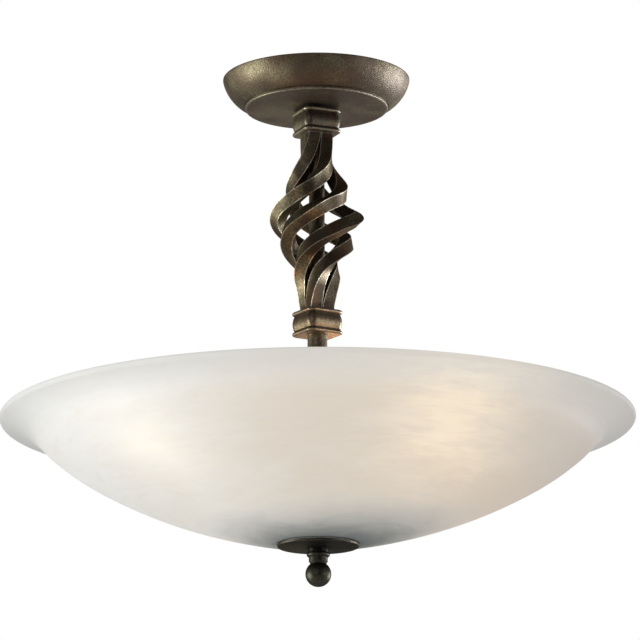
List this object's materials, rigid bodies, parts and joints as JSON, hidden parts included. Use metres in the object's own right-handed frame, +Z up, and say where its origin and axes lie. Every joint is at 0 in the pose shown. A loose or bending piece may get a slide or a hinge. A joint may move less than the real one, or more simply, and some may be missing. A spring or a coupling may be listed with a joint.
{
  "type": "semi flush ceiling light",
  "caption": "Semi flush ceiling light with a round canopy, a twisted square bar basket between square collars and a wide flared glass bowl held by a cap and ball finial.",
  "frame": {"origin": "centre of the two box screws at the ceiling plane, on the light's axis", "axes": "+Z up into the ceiling; +X along the mounting bar; -Y towards the viewer of the picture"},
  "size_m": [0.5079, 0.508, 0.4325],
  "materials": {
    "bronze": "aged oil rubbed bronze with rubbed edges",
    "zinc_steel": "zinc plated",
    "green_steel": "green dyed zinc plate",
    "brass": "plain",
    "porcelain": "glazed white",
    "bulb_glass": "soft white",
    "alabaster_glass": "white glass swirled like alabaster, satin outside",
    "gasket": "soft white"
  },
  "bodies": {
    "fixture": {"mounting_bar": "zinc_steel", "box_screw_1": "zinc_steel", "box_screw_2": "zinc_steel", "ground_screw": "green_steel", "threaded_nipple": "zinc_steel", "nipple_nut": "zinc_steel", "canopy": "bronze", "canopy_washer": "bronze", "upper_collar": "bronze", "cage_bar_1": "bronze", "cage_bar_2": "bronze", "cage_bar_3": "bronze", "cage_bar_4": "bronze", "core_tube": "bronze", "lower_collar": "bronze", "stem_tube": "bronze", "centre_rod": "zinc_steel", "cluster_body": "bronze", "cluster_cover": "bronze", "cluster_nut": "zinc_steel", "stop_washer": "zinc_steel", "stop_nut": "zinc_steel", "socket_arm_1": "zinc_steel", "socket_1": "porcelain", "screw_shell_1": "brass", "centre_contact_1": "brass", "socket_arm_2": "zinc_steel", "socket_2": "porcelain", "screw_shell_2": "brass", "centre_contact_2": "brass", "socket_arm_3": "zinc_steel", "socket_3": "porcelain", "screw_shell_3": "brass", "centre_contact_3": "brass"},
    "bowl": {"glass_bowl": "alabaster_glass", "upper_gasket": "gasket", "lower_gasket": "gasket"},
    "cap": {"bowl_cap": "bronze"},
    "finial": {"finial": "bronze"},
    "lamp_1": {"bulb_glass_1": "bulb_glass", "bulb_base_1": "brass"},
    "lamp_2": {"bulb_glass_2": "bulb_glass", "bulb_base_2": "brass"},
    "lamp_3": {"bulb_glass_3": "bulb_glass", "bulb_base_3": "brass"}
  },
  "joints": [
    {"name": "bowl_drop", "type": "slide", "parent": "fixture", "child": "bowl", "axis": [0, 0, -1], "range_m": [0, 0.14]},
    {"name": "cap_slide", "type": "slide", "parent": "bowl", "child": "cap", "axis": [0, 0, -1], "range_m": [0, 0.0094]},
    {"name": "finial_turn", "type": "hinge", "parent": "cap", "child": "finial", "pos_m": [0, 0, -0.4], "axis": [0, 0, -1], "range_deg": [0, 3600]},
    {"name": "lamp_1_pull", "type": "slide", "parent": "fixture", "child": "lamp_1", "axis": [-0.9397, -0.342, 0], "range_m": [0, 0.028]},
    {"name": "lamp_2_pull", "type": "slide", "parent": "fixture", "child": "lamp_2", "axis": [0.766, -0.6428, 0], "range_m": [0, 0.028]},
    {"name": "lamp_3_pull", "type": "slide", "parent": "fixture", "child": "lamp_3", "axis": [0.1736, 0.9848, 0], "range_m": [0, 0.028]}
  ],
  "couplings": [
    {"joint": "finial_turn", "follows": "cap_slide", "rad_per_m": 6679}
  ]
}
